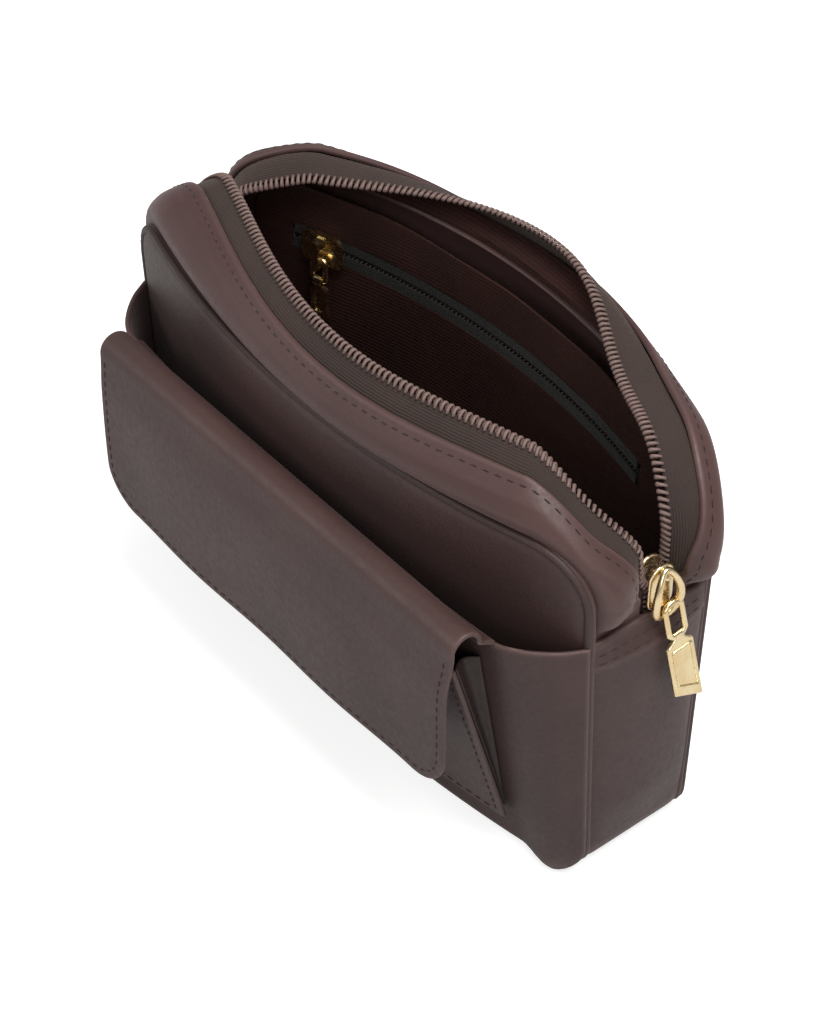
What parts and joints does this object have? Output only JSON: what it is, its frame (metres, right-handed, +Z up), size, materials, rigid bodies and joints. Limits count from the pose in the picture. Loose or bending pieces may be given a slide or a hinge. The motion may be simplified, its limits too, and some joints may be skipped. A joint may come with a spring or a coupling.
{
  "type": "waist pack",
  "caption": "Small leather belt pouch with an open zipped main compartment, a slip pocket, a flap pocket in front, a zipped inner pocket and belt loops behind.",
  "frame": {"origin": "on the floor, midway between the two ends and between the front and rear seams at the ends, which is where the base_face mount is", "axes": "+X to the right seen from the front, -Y out of the front, +Z up"},
  "size_m": [0.1791, 0.0983, 0.1244],
  "materials": {
    "leather": "dark brown smooth leather with a soft sheen",
    "lining": "dark red-brown ribbed lining",
    "zip_tape": "dark brown woven zip tape",
    "zip_teeth": "dark brown nylon coil",
    "dark_metal": "darkened metal",
    "snap_metal": "plated metal",
    "gold_metal": "polished gold-coloured plating"
  },
  "bodies": {
    "bag": {"front_panel": "leather", "rear_panel": "leather", "end_and_bottom_gusset": "leather", "front_lining": "lining", "rear_lining": "lining", "gusset_lining": "lining", "front_zip_strip": "leather", "rear_zip_strip": "leather", "front_zip_tape": "zip_tape", "rear_zip_tape": "zip_tape", "front_zip_teeth": "zip_teeth", "rear_zip_teeth": "zip_teeth", "zip_end_stop": "dark_metal", "zip_top_stops": "dark_metal", "slip_pocket_panel": "leather", "flap_pocket_front": "leather", "left_pocket_bellows": "leather", "right_pocket_bellows": "leather", "flap_root": "leather", "magnetic_snap_base": "snap_metal", "inner_zip_facing": "lining", "inner_zip_tapes": "zip_tape", "inner_zip_teeth": "zip_teeth", "inner_pocket_sheet": "lining", "left_belt_loop": "leather", "right_belt_loop": "leather"},
    "flap": {"flap_leather": "leather", "flap_lining": "lining", "magnetic_snap_cap": "snap_metal"},
    "main_slider": {"main_slider_body": "gold_metal"},
    "main_link": {"main_pull_link": "gold_metal"},
    "main_tab": {"main_pull_tab": "gold_metal"},
    "inner_slider": {"inner_slider_body": "gold_metal"},
    "inner_link": {"inner_pull_link": "gold_metal"},
    "inner_tab": {"inner_pull_tab": "gold_metal"}
  },
  "joints": [
    {"name": "flap_fold", "type": "hinge", "parent": "bag", "child": "flap", "pos_m": [0, -0.0428, 0.0835], "axis": [-1, 0, 0], "range_deg": [0, 144]},
    {"name": "main_slider_run", "type": "slide", "parent": "bag", "child": "main_slider", "axis": [0, 0, 1], "range_m": [0, 0.006]},
    {"name": "main_link_swing", "type": "hinge", "parent": "main_slider", "child": "main_link", "pos_m": [0.08945, 0.003, 0.0851], "axis": [0, -1, 0], "range_deg": [0, 120]},
    {"name": "main_tab_swing", "type": "hinge", "parent": "main_link", "child": "main_tab", "pos_m": [0.08945, 0.003, 0.0756], "axis": [0, -1, 0], "range_deg": [0, 60]},
    {"name": "inner_slider_run", "type": "hinge", "parent": "bag", "child": "inner_slider", "pos_m": [0, -0.18438, 0.085], "axis": [0, 0, -1], "range_deg": [0, 28.83]},
    {"name": "inner_link_swing", "type": "hinge", "parent": "inner_slider", "child": "inner_link", "pos_m": [-0.06291, 0.01963, 0.0831], "axis": [-0.9556, -0.2947, 0], "range_deg": [0, 110]},
    {"name": "inner_tab_swing", "type": "hinge", "parent": "inner_link", "child": "inner_tab", "pos_m": [-0.06291, 0.01963, 0.0761], "axis": [-0.9556, -0.2947, 0], "range_deg": [0, 60]}
  ]
}
